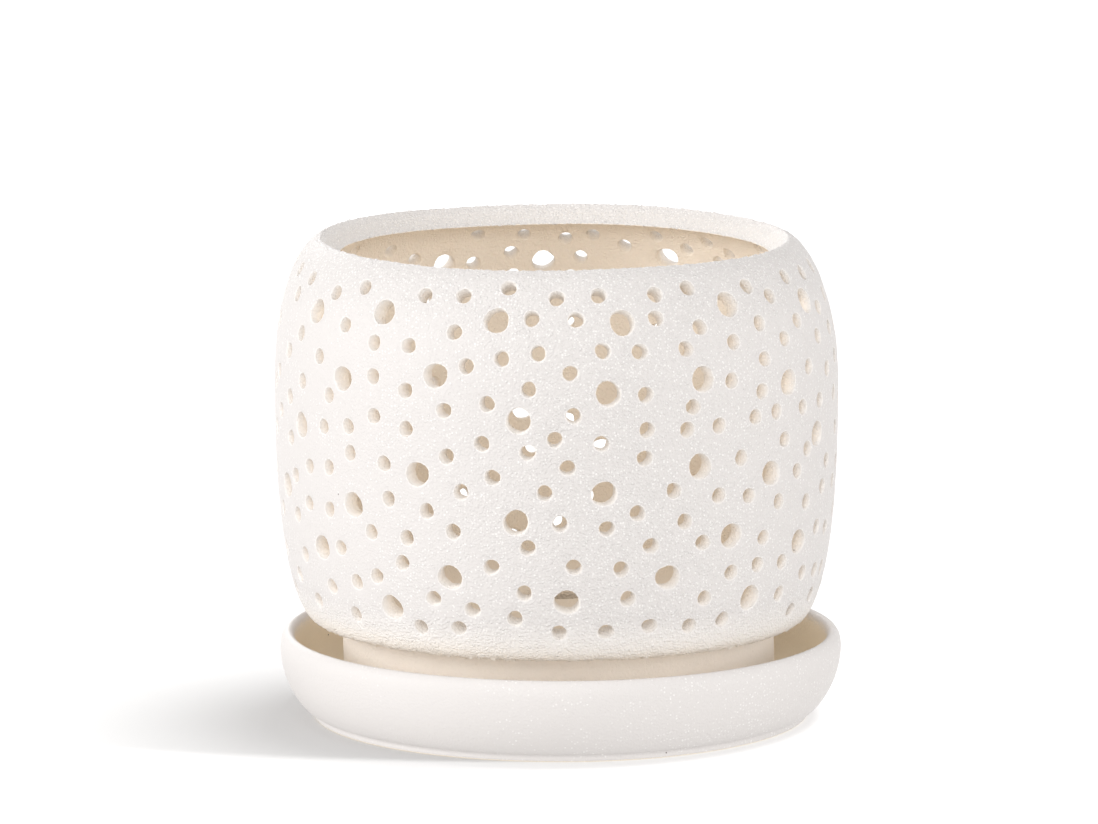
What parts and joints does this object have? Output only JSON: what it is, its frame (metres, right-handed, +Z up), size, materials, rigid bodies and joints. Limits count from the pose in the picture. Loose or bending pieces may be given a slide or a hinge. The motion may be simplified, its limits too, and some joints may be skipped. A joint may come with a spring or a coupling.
{
  "type": "perforated orchid pot with saucer",
  "caption": "Round ceramic orchid pot whose barrel wall is pierced with round air holes, on a shallow footed saucer.",
  "frame": {"origin": "centre of the saucer's foot, on the surface that it stands on", "axes": "+Z is up through the middle of the pot and the saucer; the pictured side faces -Y"},
  "size_m": [0.1496, 0.1496, 0.1283],
  "materials": {
    "pot_glaze": "sandy white satin glaze with a smooth tan inside and an unglazed foot",
    "saucer_glaze": "sandy white satin glaze with a smooth tan inside"
  },
  "bodies": {
    "saucer": {"saucer": "saucer_glaze"},
    "pot": {"pot": "pot_glaze"}
  },
  "joints": [
    {"name": "pot_lift", "type": "slide", "parent": "saucer", "child": "pot", "axis": [0, 0, 1], "range_m": [0, 0.06]}
  ]
}
